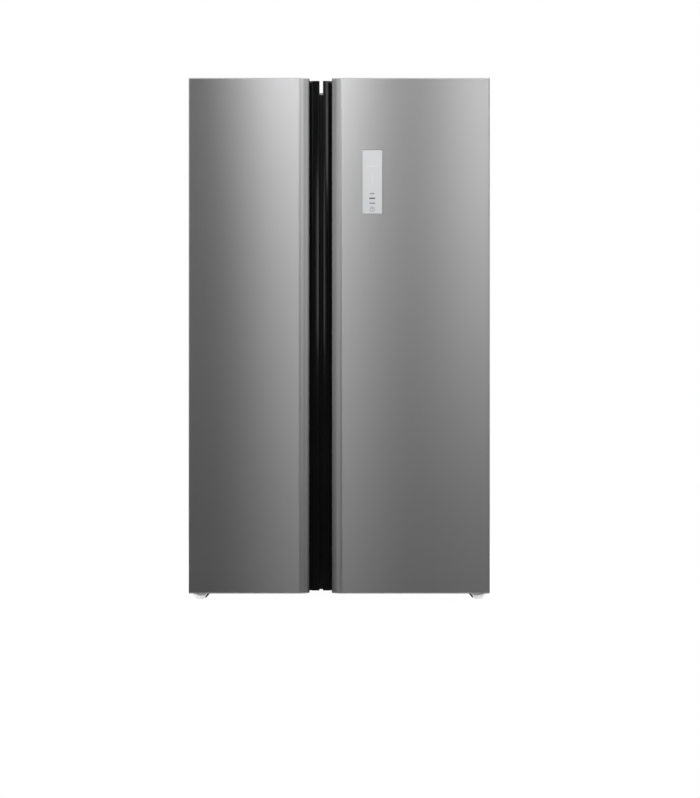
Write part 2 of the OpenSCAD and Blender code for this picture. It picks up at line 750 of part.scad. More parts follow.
cabinet_shell();
back_panel();
cabinet_foam();
freezer_liner();
fridge_liner();
base_pan();
machine_cover();
upper_hinges();
hinge_covers();
lower_hinges();
compressor();
condenser();
condenser_fan_frame();
drain_pan();
refrigerant_pipes();
evaporator();
evaporator_cover();
fridge_air_duct();
control_board_cover();
freezer_shelf(0);  // freezer_shelf_1
freezer_shelf(1);  // freezer_shelf_2
freezer_shelf(2);  // freezer_shelf_3
freezer_shelf(3);  // freezer_shelf_4
fridge_shelf(0);  // crisper_lid
fridge_shelf(1);  // fridge_shelf_1
fridge_shelf(2);  // fridge_shelf_2
fridge_shelf(3);  // fridge_shelf_3
interior_lamps();
foot_left();
foot_right();
rear_roller(-1);  // rear_roller_left
rear_roller(1);  // rear_roller_right
condenser_fan();
evaporator_fan();
freezer_drawer_upper();
freezer_drawer_lower();
crisper_upper();
crisper_lower();
left_door_panel();
left_door_caps();
left_door_foam();
left_door_liner();
left_gasket();
left_handle();
left_bin(0);  // left_bin_1
left_bin(1);  // left_bin_2
left_bin(2);  // left_bin_3
left_bin(3);  // left_bin_4
right_door_panel();
right_door_caps();
right_door_foam();
right_door_liner();
right_gasket();
right_handle();
display_panel();
right_bin(0);  // right_bin_1
right_bin(1);  // right_bin_2
right_bin(2);  // right_bin_3
dairy_bin();
dairy_cover();
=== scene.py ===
"""Side by side refrigerator: materials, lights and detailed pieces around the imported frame."""

import json
import math

import bmesh
import bpy
from mathutils import Matrix, Vector


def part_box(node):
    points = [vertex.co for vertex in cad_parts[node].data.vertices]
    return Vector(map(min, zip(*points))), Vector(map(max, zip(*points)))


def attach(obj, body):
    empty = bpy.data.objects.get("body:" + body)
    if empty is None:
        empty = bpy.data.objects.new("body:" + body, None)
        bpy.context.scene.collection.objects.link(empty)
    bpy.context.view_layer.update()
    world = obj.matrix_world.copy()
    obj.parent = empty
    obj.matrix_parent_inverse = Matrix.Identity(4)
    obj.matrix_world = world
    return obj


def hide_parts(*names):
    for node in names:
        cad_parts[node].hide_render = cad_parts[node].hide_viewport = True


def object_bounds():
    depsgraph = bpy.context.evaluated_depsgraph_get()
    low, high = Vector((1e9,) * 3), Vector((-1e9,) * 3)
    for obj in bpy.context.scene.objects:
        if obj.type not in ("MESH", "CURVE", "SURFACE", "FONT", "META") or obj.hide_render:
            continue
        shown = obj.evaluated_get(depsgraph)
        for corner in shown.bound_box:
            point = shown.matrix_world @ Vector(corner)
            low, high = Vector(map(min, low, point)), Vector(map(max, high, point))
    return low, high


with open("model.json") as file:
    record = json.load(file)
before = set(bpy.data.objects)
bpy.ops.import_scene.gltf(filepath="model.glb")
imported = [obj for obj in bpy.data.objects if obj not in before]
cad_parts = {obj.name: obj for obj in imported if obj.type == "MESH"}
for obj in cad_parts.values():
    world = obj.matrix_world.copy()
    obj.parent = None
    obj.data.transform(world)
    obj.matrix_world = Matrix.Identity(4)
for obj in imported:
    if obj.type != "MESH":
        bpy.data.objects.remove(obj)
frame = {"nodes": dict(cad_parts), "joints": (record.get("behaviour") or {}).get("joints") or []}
cad_lo, cad_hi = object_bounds()
scene = bpy.context.scene
nodes = frame["nodes"]
MM = 0.001
SPACER_T = 10  # the wall spacers stand proud of the back sheet by this much


# ---------------------------------------------------------------- places from the frame

half_w = cad_hi.x
front = cad_lo.y
door_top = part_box("right_door_caps")[1].z / MM
rear_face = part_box("back_panel")[1].y / MM - SPACER_T
SIDE = {-1: "left", 1: "right"}


# ---------------------------------------------------------------- mesh helpers

def rbox(lo, hi, r=0.0, segs=3):
    """A box between two corners with rounded edges."""
    bm = bmesh.new()
    bmesh.ops.create_cube(bm, size=1.0)
    for v in bm.verts:
        v.co = [lo[i] + (v.co[i] + 0.5) * (hi[i] - lo[i]) for i in range(3)]
    if r:
        bmesh.ops.bevel(bm, geom=list(bm.edges), offset=r, segments=segs, profile=0.5, affect="EDGES")
    return bm


def merge(bm, sub, matrix=None):
    """Adds sub's faces to bm."""
    if matrix is not None:
        bmesh.ops.transform(sub, matrix=matrix, verts=sub.verts)
    mesh = bpy.data.meshes.new("part")
    sub.to_mesh(mesh)
    sub.free()
    bm.from_mesh(mesh)
    bpy.data.meshes.remove(mesh)
    return bm


def arc(cx, cy, r, a0, a1, n=8):
    """Points of an arc, angles in degrees."""
    angles = [math.radians(a0 + (a1 - a0) * i / n) for i in range(n + 1)]
    return [(cx + r * math.cos(a), cy + r * math.sin(a)) for a in angles]


def turns_of(n):
    """n equal angles round a full turn."""
    return [2 * math.pi * i / n for i in range(n)]


def rrect(x0, y0, x1, y1, r, n=6):
    """A rounded rectangle's outline, anticlockwise."""
    r = max(min(r, (x1 - x0) / 2.01, (y1 - y0) / 2.01), 1e-5)
    return (
        arc(x1 - r, y0 + r, r, -90, 0, n)
        + arc(x1 - r, y1 - r, r, 0, 90, n)
        + arc(x0 + r, y1 - r, r, 90, 180, n)
        + arc(x0 + r, y0 + r, r, 180, 270, n)
    )


def loft(loops, closed=False):
    """A skin through equal-length loops of 3-D points, capped at both ends or closed on itself."""
    bm = bmesh.new()
    rings = [[bm.verts.new(p) for p in loop] for loop in loops]
    count = len(rings[0])
    pairs = list(zip(rings, rings[1:])) + ([(rings[-1], rings[0])] if closed else [])
    for a, b in pairs:
        for i in range(count):
            bm.faces.new((a[i], a[(i + 1) % count], b[(i + 1) % count], b[i]))
    if not closed:
        bm.faces.new(rings[0][::-1])
        bm.faces.new(rings[-1])
    return bm


def round_ends(bm, axis, r, segs):
    """Bevels the edges that lie across axis."""
    ends = [e for e in bm.edges if abs(e.verts[0].co[axis] - e.verts[1].co[axis]) < 1e-9]
    bmesh.ops.bevel(bm, geom=ends, offset=r, segments=segs, profile=0.5, affect="EDGES")


def prism(points, axis, lo, hi, r=0.0, segs=2):
    """A polygon in the two other axes, run along axis from lo to hi."""
    order = {0: (1, 2), 1: (2, 0), 2: (0, 1)}[axis]

    def corner(p, h):
        """A point of the polygon at height h along axis."""
        v = [0.0, 0.0, 0.0]
        v[axis], v[order[0]], v[order[1]] = h, p[0], p[1]
        return v

    bm = loft([[corner(p, h) for p in points] for h in (lo, hi)])
    if r:
        round_ends(bm, axis, r, segs)
    return bm


def quarter(axis, sign=1):
    """A quarter turn about an axis."""
    return Matrix.Rotation(math.radians(90 * sign), 4, axis)


def lathe(profile, centre, axis="Z", n=48):
    """Revolves (radius, height) points about an axis through centre."""
    point = 1e-6
    bm = loft([
        [(max(r, point) * math.cos(a), max(r, point) * math.sin(a), h) for a in turns_of(n)]
        for r, h in profile
    ])
    bmesh.ops.remove_doubles(bm, verts=bm.verts, dist=2 * point)
    turn = {"Z": Matrix(), "X": quarter("Y"), "Y": quarter("X", -1)}[axis]
    bmesh.ops.transform(bm, matrix=Matrix.Translation(centre) @ turn, verts=bm.verts)
    return bm


def piece(name, bm, material, body, stands_for=(), sharp=32):
    """Turns a bmesh into an object that rides on a body."""
    bmesh.ops.recalc_face_normals(bm, faces=bm.faces)
    mesh = bpy.data.meshes.new(name)
    bm.to_mesh(mesh)
    bm.free()
    mesh.materials.append(material)
    for p in mesh.polygons:
        p.use_smooth = True
    mesh.set_sharp_from_angle(angle=math.radians(sharp))
    o = bpy.data.objects.new(name, mesh)
    scene.collection.objects.link(o)
    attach(o, body)
    if stands_for:
        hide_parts(*stands_for)
    return o


def cut(bm, *cutters):
    """bm less each cutter."""
    bmesh.ops.recalc_face_normals(bm, faces=bm.faces)
    mesh = bpy.data.meshes.new("base")
    bm.to_mesh(mesh)
    bm.free()
    o = bpy.data.objects.new("base", mesh)
    scene.collection.objects.link(o)
    tools = []
    for c in cutters:
        bmesh.ops.recalc_face_normals(c, faces=c.faces)
        tool_mesh = bpy.data.meshes.new("tool")
        c.to_mesh(tool_mesh)
        c.free()
        tool = bpy.data.objects.new("tool", tool_mesh)
        scene.collection.objects.link(tool)
        tools.append(tool)
        m = o.modifiers.new("cut", "BOOLEAN")
        m.operation, m.solver, m.object = "DIFFERENCE", "EXACT", tool
    bpy.context.view_layer.update()
    done = bpy.data.meshes.new_from_object(o.evaluated_get(bpy.context.evaluated_depsgraph_get()))
    out = bmesh.new()
    out.from_mesh(done)
    for x in [o, *tools]:
        old = x.data
        bpy.data.objects.remove(x)
        bpy.data.meshes.remove(old)
    bpy.data.meshes.remove(done)
    return out


def on_door(side):
    """Door coordinates, from the outer edge and the front face, to the row frame."""
    flip = Matrix.Scale(-1, 4, (1, 0, 0)) if side > 0 else Matrix()
    return Matrix.Translation((side * half_w, front, 0)) @ flip


# ---------------------------------------------------------------- material helpers

def graph(name):
    """A new material, its node tree and its main shader."""
    m = bpy.data.materials.new(name)
    m.use_nodes = True
    return m, m.node_tree, m.node_tree.nodes["Principled BSDF"]


def add(tree, kind, **settings):
    """A new shader node."""
    n = tree.nodes.new("ShaderNode" + kind)
    for k, v in settings.items():
        setattr(n, k, v)
    return n


def noise(tree, scale, stretch=(1, 1, 1), detail=3.0, rough=0.5):
    """Noise in the object's own coordinates."""
    place = add(tree, "TexCoord")
    mapping = add(tree, "Mapping")
    mapping.inputs["Scale"].default_value = stretch
    tex = add(tree, "TexNoise")
    tex.inputs["Scale"].default_value = scale
    tex.inputs["Detail"].default_value = detail
    tex.inputs["Roughness"].default_value = rough
    tree.links.new(place.outputs["Object"], mapping.inputs["Vector"])
    tree.links.new(mapping.outputs["Vector"], tex.inputs["Vector"])
    return tex.outputs["Fac"]


def between(tree, fac, lo, hi, start=0.12, stop=0.88):
    """Spreads a noise value over the range from lo to hi."""
    n = add(tree, "MapRange")
    for key, value in zip(("From Min", "From Max", "To Min", "To Max"), (start, stop, lo, hi)):
        n.inputs[key].default_value = value
    tree.links.new(fac, n.inputs["Value"])
    return n.outputs["Result"]


def blend_colours(tree, fac, a, b):
    """A colour between a and b."""
    n = add(tree, "Mix", data_type="RGBA")
    n.inputs["A"].default_value = (*a, 1)
    n.inputs["B"].default_value = (*b, 1)
    tree.links.new(fac, n.inputs["Factor"])
    return n.outputs["Result"]


def relief(tree, shader, height, strength, distance):
    """Shallow bumps on the shader's normal."""
    n = add(tree, "Bump")
    n.inputs["Strength"].default_value = strength
    n.inputs["Distance"].default_value = distance
    tree.links.new(height, n.inputs["Height"])
    tree.links.new(n.outputs["Normal"], shader.inputs["Normal"])


def surface(name, light, dark, rough, patch=9.0, grain=900.0, depth=0.00003, strength=0.25, **fixed):
    """An uneven finish: two close tones in soft patches, roughness that varies, and a fine grain."""
    m, t, s = graph(name)
    soft = noise(t, patch, detail=4.0)
    fine = noise(t, grain, detail=2.0)
    t.links.new(blend_colours(t, between(t, soft, 0, 1), dark, light), s.inputs["Base Color"])
    t.links.new(between(t, noise(t, patch * 2, detail=1.0), *rough), s.inputs["Roughness"])
    relief(t, s, fine, strength, depth)
    for key, value in fixed.items():
        s.inputs[key.replace("_", " ").title().replace("Ior", "IOR")].default_value = value
    return m


def brushed(name, light, dark, rough, aniso):
    """Sheet steel brushed across: long shallow scratches along X and Y, a highlight drawn out along Z."""
    m, t, s = graph(name)
    lines = noise(t, 1.0, (14, 14, 2600), 3.0, 0.6)
    broad = noise(t, 1.0, (3, 3, 5), 3.0)
    t.links.new(blend_colours(t, between(t, lines, 0, 1), dark, light), s.inputs["Base Color"])
    t.links.new(between(t, broad, *rough), s.inputs["Roughness"])
    s.inputs["Metallic"].default_value = 1.0
    s.inputs["Anisotropic"].default_value = aniso
    s.inputs["Anisotropic Rotation"].default_value = 0.25
    tangent = add(t, "Tangent", direction_type="RADIAL", axis="Z")
    t.links.new(tangent.outputs["Tangent"], s.inputs["Tangent"])
    return m


def clear(name, tint, rough, ior, haze=0.0):
    """Clear moulded plastic or glass, faintly uneven."""
    m, t, s = graph(name)
    t.links.new(between(t, noise(t, 9.0, detail=1.0), rough, rough * 1.25 + 0.01), s.inputs["Roughness"])
    relief(t, s, noise(t, 9.0, detail=0.0), 0.02, 0.0001)
    s.inputs["Base Color"].default_value = (*tint, 1)
    s.inputs["Transmission Weight"].default_value = 1.0 - haze
    s.inputs["IOR"].default_value = ior
    return m


STEEL = brushed("brushed_steel_sheet", (0.61, 0.61, 0.617), (0.585, 0.585, 0.592), (0.352, 0.368), 0.95)
CAP_SILVER = surface("door_cap_silver", (0.50, 0.50, 0.51), (0.46, 0.46, 0.47), (0.34, 0.42), metallic=0.6)
BLACK = surface("grip_black_gloss", (0.005, 0.005, 0.0055), (0.003, 0.003, 0.0035), (0.11, 0.15),
                strength=0.03, specular_ior_level=0.34)
SIDES = surface("coated_side_sheet", (0.47, 0.475, 0.485), (0.44, 0.445, 0.455), (0.40, 0.48),
                grain=700, depth=0.00006, strength=0.35, metallic=0.35)
ZINC = surface("zinc_sheet", (0.52, 0.53, 0.54), (0.40, 0.41, 0.42), (0.32, 0.46), patch=55, metallic=0.3)
LINER = surface("liner_white", (0.86, 0.865, 0.865), (0.82, 0.825, 0.83), (0.26, 0.34), strength=0.06)
WHITE = surface("moulded_white", (0.86, 0.86, 0.85), (0.80, 0.80, 0.79), (0.38, 0.48))
DARK = surface("moulded_dark", (0.055, 0.056, 0.06), (0.04, 0.041, 0.044), (0.42, 0.55), strength=0.4)
GREY = surface("moulded_grey", (0.24, 0.245, 0.25), (0.19, 0.195, 0.20), (0.42, 0.54))
ENAMEL = surface("compressor_enamel", (0.02, 0.02, 0.021), (0.012, 0.012, 0.013), (0.25, 0.4),
                 patch=20, grain=160, depth=0.0002)
FINS = surface("coil_aluminium", (0.78, 0.79, 0.80), (0.66, 0.67, 0.68), (0.28, 0.4), patch=40, metallic=0.45)
COPPER = surface("copper_tube", (0.72, 0.36, 0.22), (0.50, 0.22, 0.12), (0.26, 0.42), patch=70, metallic=0.55)
RUBBER = surface("seal_rubber", (0.42, 0.425, 0.43), (0.37, 0.375, 0.38), (0.55, 0.68), grain=500)
FOAM = surface("poured_foam", (0.84, 0.81, 0.70), (0.76, 0.72, 0.58), (0.85, 0.95),
               patch=60, grain=320, depth=0.0006, strength=0.8)
GLASS = clear("shelf_glass", (0.86, 0.95, 0.92), 0.02, 1.5)
CLEAR = clear("clear_drawer_plastic", (0.90, 0.95, 0.97), 0.05, 1.47, 0.06)
LENS = surface("lamp_lens", (0.95, 0.95, 0.92), (0.90, 0.90, 0.88), (0.3, 0.4), emission_strength=0.6)
LENS.node_tree.nodes["Principled BSDF"].inputs["Emission Color"].default_value = (1.0, 0.98, 0.94, 1)
FROSTED = clear("frosted_drawer_front", (0.88, 0.93, 0.96), 0.22, 1.47, 0.25)
FACE = surface("display_silver", (0.44, 0.445, 0.455), (0.425, 0.43, 0.44), (0.42, 0.5),
               patch=25, strength=0.05)
# Matt black for the mullion strip. Besides being a real trim, it paints the shade inside the deep gap between
# the doors.
GAP_SHADE_STRIP = surface("strip_black_gap_shade", (0.012, 0.012, 0.013), (0.008, 0.008, 0.009), (0.5, 0.6),
                specular_ior_level=0.2)
MARK_DARK = surface("display_print_dark", (0.07, 0.072, 0.078), (0.05, 0.052, 0.056), (0.4, 0.5))
MARK_MID = surface("display_print_mid", (0.20, 0.205, 0.212), (0.17, 0.175, 0.18), (0.4, 0.5))
MARK_PALE = surface("display_print_pale", (0.56, 0.57, 0.58), (0.52, 0.53, 0.54), (0.3, 0.4))


# ---------------------------------------------------------------- camera, light and floor

CAMERA_AWAY, CAMERA_Z = 4.2, 0.847
DOOR_MID = 0.9
camera = bpy.data.cameras.new("camera")
camera.lens, camera.sensor_width = 60.1, 36.0
camera.shift_x, camera.shift_y = 0.0135, -0.0793
camera_object = bpy.data.objects.new("camera", camera)
camera_object.location = (0.0, front - CAMERA_AWAY, CAMERA_Z)
camera_object.rotation_euler = (math.radians(90), 0, 0)
scene.collection.objects.link(camera_object)
scene.camera = camera_object
scene.view_settings.view_transform = "Standard"


def card(place, target, w, h, glow):
    """A soft card of an even brightness, unseen by the camera."""
    light = bpy.data.lights.new("card", "AREA")
    light.shape, light.size, light.size_y, light.energy = "RECTANGLE", w, h, glow * math.pi * w * h
    o = bpy.data.objects.new("card", light)
    o.location = place
    o.visible_camera = False
    o.rotation_euler = (Vector(target) - o.location).to_track_quat("-Z", "Y").to_euler()
    scene.collection.objects.link(o)


def softbox(x0, x1, y, z, h, glow):
    """A card from x0 to x1 that looks straight at the doors, tipped down to their middle."""
    x = (x0 + x1) / 2
    card((x, y, z), (x, front, DOOR_MID), x1 - x0, h, glow)


# A bank above the gap between the doors and a bank past the right door, so that the doors' middles stay
# darker. Each row is x0, x1 and glow.
for x0, x1, glow in ((-0.56, -0.38, 1.7), (-0.38, -0.19, 4.6), (-0.19, 0.0, 3.3), (0.0, 0.19, 2.4)):
    softbox(x0, x1, y=-2.155, z=2.65, h=1.0, glow=glow)
for x0, x1, glow in ((0.22, 0.60, 0.7), (0.60, 1.00, 2.9), (1.00, 1.50, 1.9), (1.50, 2.60, 1.3)):
    softbox(x0, x1, y=-3.2, z=2.5, h=1.8, glow=glow)
# Large cards at both sides for the rolled edges.
for x0, x1 in ((-2.6, -1.6), (-4.3, -2.6)):
    softbox(x0, x1, y=-6.3, z=4.2, h=3.8, glow=1.9)
softbox(-3.6, -1.55, y=-2.4, z=2.1, h=2.2, glow=0.8)
softbox(1.6, 2.9, y=-2.6, z=2.0, h=2.2, glow=0.8)
# One behind the camera for the black grips, and a narrow one close by for the start of each roll.
softbox(-0.48, 0.22, y=-5.2, z=1.35, h=1.1, glow=2.6)
softbox(-0.05, 0.03, y=-0.955, z=2.65, h=1.0, glow=4.0)
# One on each side for the cabinet's flanks.
for x in (-3.4, 3.4):
    card((x, 0.1, 1.6), (0, 0.1, DOOR_MID), 2.4, 2.0, 1.3)

# An even white room that is almost black in reflections.
world = bpy.data.worlds.new("studio")
scene.world = world
world.use_nodes = True
sky = world.node_tree
ray = add(sky, "LightPath")
strength = add(sky, "Math", operation="MULTIPLY_ADD")
strength.inputs[1].default_value = -0.99
strength.inputs[2].default_value = 1.0
sky.links.new(ray.outputs["Is Glossy Ray"], strength.inputs[0])
sky.nodes["Background"].inputs["Color"].default_value = (1.0, 1.0, 1.0, 1)
sky.links.new(strength.outputs[0], sky.nodes["Background"].inputs["Strength"])

# Pale floor that fades into the background, unseen by the doors' reflections.
floor_bm = bmesh.new()
bmesh.ops.create_grid(floor_bm, x_segments=8, y_segments=8, size=3.0)
floor_mesh = bpy.data.meshes.new("floor")
floor_bm.to_mesh(floor_mesh)
floor_bm.free()
floor = bpy.data.objects.new("floor", floor_mesh)
floor.location = (0, 0, -0.5 * MM)
scene.collection.objects.link(floor)
floor.visible_glossy = False
floor_mat, ft, fs = graph("floor_pale")
fs.inputs["Base Color"].default_value = (0.15, 0.15, 0.15, 1)
fs.inputs["Emission Color"].default_value = (1, 1, 1, 1)
fs.inputs["Emission Strength"].default_value = 0.95
fs.inputs["Roughness"].default_value = 0.9
fs.inputs["Specular IOR Level"].default_value = 0.0
reach = add(ft, "VectorMath", operation="LENGTH")
ft.links.new(add(ft, "TexCoord").outputs["Object"], reach.inputs[0])
fade = add(ft, "MapRange", interpolation_type="SMOOTHSTEP")
fade.inputs["From Min"].default_value, fade.inputs["From Max"].default_value = 0.6, 1.3
ft.links.new(reach.outputs["Value"], fade.inputs["Value"])
mixer = add(ft, "MixShader")
ft.links.new(fade.outputs["Result"], mixer.inputs["Fac"])
ft.links.new(fs.outputs["BSDF"], mixer.inputs[1])
ft.links.new(add(ft, "BsdfTransparent").outputs["BSDF"], mixer.inputs[2])
ft.links.new(mixer.outputs["Shader"], ft.nodes["Material Output"].inputs["Surface"])
floor_mesh.materials.append(floor_mat)


# ---------------------------------------------------------------- finishes of the CAD nodes

FINISH = {
    "cabinet_shell": SIDES, "base_pan": ZINC, "machine_cover": ZINC, "upper_hinges": ZINC,
    "lower_hinges": DARK, "cabinet_foam": FOAM, "evaporator_cover": LINER, "fridge_air_duct": LINER,
    "hinge_covers": DARK, "condenser_fan_frame": DARK, "left_door_caps": CAP_SILVER,
    "right_door_caps": CAP_SILVER, "condenser": FINS, "evaporator": FINS, "left_handle": BLACK,
    "right_handle": BLACK,
}
# Widths of the rounded edges in millimetres, where they differ from the usual one.
USUAL_EDGE = 0.5
EDGE = {
    "cabinet_shell": 1.2, "base_pan": 0.6, "hinge_covers": 2.4, "left_handle": 0.7, "right_handle": 0.7,
    "fridge_air_duct": 1.2, "lower_hinges": 0.8,
}


def soften(o, width):
    """Joins the node's split corners and rounds its sharp edges a little."""
    for p in o.data.polygons:
        p.use_smooth = True
    weld = o.modifiers.new("weld", "WELD")
    weld.merge_threshold = 0.00001
    bevel = o.modifiers.new("bevel", "BEVEL")
    bevel.limit_method, bevel.angle_limit = "ANGLE", math.radians(32)
    bevel.width, bevel.segments, bevel.harden_normals = width * MM, 2, False
    bevel.use_clamp_overlap = True
    normals = o.modifiers.new("normals", "WEIGHTED_NORMAL")
    normals.keep_sharp = False


for name, finish in FINISH.items():
    nodes[name].data.materials.clear()
    nodes[name].data.materials.append(finish)
    soften(nodes[name], EDGE.get(name, USUAL_EDGE))


# ---------------------------------------------------------------- doors
# Door coordinates in millimetres: a from the outer edge, v back from the front face, z up.

# The steel sheet: its thickness, three bends, the roll's angle and the depth of the folded return.
STEEL_T, EDGE_R, FOLD_R, ROLL_R, ROLL_A, RETURN_V = 1.0, 4.0, 3.0, 82.0, 26.0, 26.0
# The room for the upper hinge, the ring that stands inside the seal, and the door's thickness.
POCKET_V, POCKET_A, POCKET_H = 8.0, 42.0, 25.0
DIKE_W, DIKE_V, DIKE_A, DIKE_Z, DIKE_R = 28.0, 110.0, 64.0, 38.0, 16.0
LINER_V, DOOR_T = 66.2, 70.0
STEEL_DEPTH = DOOR_T - 4
GAP = 0.2
OVER = 2.0  # how far a cutter reaches past what it cuts
BINS = {
    -1: ["left_bin_1", "left_bin_2", "left_bin_3", "left_bin_4"],
    1: ["right_bin_1", "right_bin_2", "right_bin_3", "dairy_bin"],
}
LID_PIN_R = 3.0
lid_at = next(joint["pos_m"] for joint in frame["joints"] if joint["name"] == "dairy_cover_hinge")
lid_pin = ((lid_at[1] - front) / MM, lid_at[2] / MM)


def at(p):
    """Millimetres to metres."""
    return tuple(c * MM for c in p)


def line_at(points):
    """A list of points from millimetres to metres."""
    return [at(p) for p in points]


def box_mm(name):
    """A node's box in millimetres."""
    lo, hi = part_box(name)
    return lo / MM, hi / MM


def door_box(name, side):
    """A node's box in door coordinates, in millimetres."""
    lo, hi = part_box(name)
    a = sorted((half_w - side * x) / MM for x in (lo.x, hi.x))
    return (a[0], (lo.y - front) / MM, lo.z / MM), (a[1], (hi.y - front) / MM, hi.z / MM)


def block(lo, hi, r=0.0, segs=3):
    """rbox with millimetres."""
    return rbox(at(lo), at(hi), r * MM, segs)


def steel_face(k, d):
    """The sheet's outer line, or its inner one inset by d: outer edge, flat, roll, fold and return."""
    a = math.radians(ROLL_A)
    turn = k - FOLD_R * (1 - math.sin(a)) - ROLL_R * math.sin(a)
    drop = ROLL_R * (1 - math.cos(a)) + FOLD_R * math.cos(a)
    return (
        [(d, STEEL_DEPTH)]
        + arc(EDGE_R, EDGE_R, EDGE_R - d, 180, 270, 8)
        + arc(turn, ROLL_R, ROLL_R - d, 270, 270 + ROLL_A, 26)
        + arc(k - FOLD_R, drop, FOLD_R - d, 270 + ROLL_A, 360, 8)
        + [(k - d, RETURN_V)]
    )


def hinge_pocket(depth):
    """A cutter for the room that the upper hinge needs in the door's top corner."""
    return block((-OVER, POCKET_V, door_top - POCKET_H), (POCKET_A, depth, door_top + 5))


def display_hole(margin, depth):
    """A cutter for the display, wider by margin all round."""
    lo, hi = door_box("display_panel", 1)
    return block((lo[0] - margin, -OVER, lo[2] - margin), (hi[0] + margin, depth, hi[2] + margin))


def steel_panel(side):
    """Folded steel sheet, cut for the upper hinge, and for the display on the right."""
    name = SIDE[side] + "_door_panel"
    lo, hi = door_box(name, side)
    outline = steel_face(hi[0], 0.0) + steel_face(hi[0], STEEL_T)[::-1]
    sheet = prism(line_at(outline), 2, lo[2] * MM, hi[2] * MM)
    holes = [hinge_pocket(DOOR_T)]
    if side > 0:
        holes.append(display_hole(0.7, 3))
    sheet = cut(sheet, *holes)
    bmesh.ops.transform(sheet, matrix=on_door(side), verts=sheet.verts)
    weigh(piece(name + "_sheet", sheet, STEEL, SIDE[side] + "_door", [name]))


def weigh(o):
    """Lets large faces keep their own normals."""
    m = o.modifiers.new("normals", "WEIGHTED_NORMAL")
    m.keep_sharp = True


def ring(x0, z0, x1, z1, r, inset, v):
    """A rounded rectangle seen from the front, pulled in by inset, at depth v."""
    line = rrect(x0 + inset, z0 + inset, x1 - inset, z1 - inset, max(r - inset, 1.5))
    return line_at((x, v, z) for x, z in line)


def dike_outline(side):
    """The ring's outer line, inside the seal and outside the bins."""
    lo, hi = door_box(SIDE[side] + "_gasket", side)
    wall = door_box(BINS[side][0], side)[1][0] + DIKE_W + 0.5
    return DIKE_A, lo[2] + DIKE_Z, wall, hi[2] - DIKE_Z, DIKE_R


def door_liner(side):
    """Vacuum-formed inner face: a flange, a rounded ring, and lugs that carry the bins."""
    name = SIDE[side] + "_door_liner"
    lo, hi = door_box(name, side)
    bins = [door_box(n, side) for n in BINS[side]]
    flange = (lo[0] + GAP, lo[2] + GAP, hi[0] - GAP, hi[2] - GAP, 2)
    dike = dike_outline(side)
    # Each step is an inset and a depth: up the ring's outer wall, and down its inner one.
    steps = [(-3, DOOR_T), (-0.8, DOOR_T + 0.8), (0.4, DOOR_T + 4), (2, DIKE_V - 9), (3.5, DIKE_V - 4),
             (8, DIKE_V)]
    back = [(DIKE_W - 8, DIKE_V), (DIKE_W - 3.5, DIKE_V - 4), (DIKE_W - 2, DIKE_V - 9), (DIKE_W, DOOR_T + 6),
            (DIKE_W + 2, DOOR_T + 1.5), (DIKE_W + 7, DOOR_T)]
    rim = [ring(*flange, 0, v) for v in (LINER_V, DOOR_T)]
    skin = cut(loft(rim + [ring(*dike, inset, v) for inset, v in steps + back]), hinge_pocket(DIKE_V))
    lug_w, lug_h = 9, 12.6
    for low, high in bins:
        for a in (low[0] - 0.5, high[0] + 0.5 - lug_w):
            z = low[2] - 0.4
            merge(skin, block((a, DOOR_T - 1, z - lug_h), (a + lug_w, DIKE_V - 7, z), 2))
    bar_z, bar_h, bar_in = 190, 14, 60
    a0, a1 = dike[0] + bar_in, dike[2] - bar_in
    for z in [low[2] + bar_z for low, high in bins[:-1]]:
        merge(skin, block((a0, DOOR_T - 1.5, z), (a1, DOOR_T + 1.2, z + bar_h), 1.1))
    bmesh.ops.transform(skin, matrix=on_door(side), verts=skin.verts)
    weigh(piece(name + "_shell", skin, LINER, SIDE[side] + "_door", [name], 40))


def door_foam(side):
    """Foam behind the steel and round the grip channel, and the frame that fills the liner's ring."""
    name = SIDE[side] + "_door_foam"
    lo, hi = door_box(name, side)
    k = door_box(SIDE[side] + "_door_panel", side)[1][0]
    inset = STEEL_T + GAP
    outline = steel_face(k, inset)
    outline[0], outline[-1] = (inset, STEEL_DEPTH - GAP), (k - inset, RETURN_V - 3)
    # Round the grip channel's edge and floor, then out to the edge beside it.
    outline += [(k - 14.2, RETURN_V - 2), (k - 18.7, RETURN_V + 3), (k - 18.7, 49.2), (k - 12, 55.7)]
    outline += [(k + 3.6, 55.7), (k + 9.6, 52.8), (hi[0] - GAP, 52.8), (hi[0] - GAP, STEEL_DEPTH - GAP)]
    foam = prism(line_at(outline), 2, lo[2] * MM, hi[2] * MM)
    half = [(4.5, DOOR_T - 3), (4.5, DIKE_V - 8), (8, DIKE_V - 4)]
    section = half + [(DIKE_W - i, v) for i, v in half[::-1]]
    merge(foam, loft([ring(*dike_outline(side), i, v) for i, v in section], closed=True))
    if side > 0:
        foam = cut(foam, display_hole(1, door_box("display_panel", side)[1][1] + 1))
    bmesh.ops.transform(foam, matrix=on_door(side), verts=foam.verts)
    weigh(piece(name + "_fill", foam, FOAM, SIDE[side] + "_door", [name], 40))


def gasket(side):
    """Magnetic seal: a foot in the door's groove, a soft bellows and a flat magnet lip."""
    name = SIDE[side] + "_gasket"
    lo, hi = door_box(name, side)
    outline = (lo[0], lo[2], hi[0], hi[2], 8)
    w = 16
    half = [(2, 0), (3, 1.4), (5, 2.6), (3, 4), (4.4, 5.6), (1.2, 6.6), (0.2, 7.6), (0.2, 10.6), (1.2, 11.7)]
    section = half + [(w - i, v) for i, v in half[::-1]]
    seal = loft([ring(*outline, i, lo[1] + v) for i, v in section], closed=True)
    bmesh.ops.transform(seal, matrix=on_door(side), verts=seal.verts)
    piece(name + "_bellows", seal, RUBBER, SIDE[side] + "_door", [name], 50)


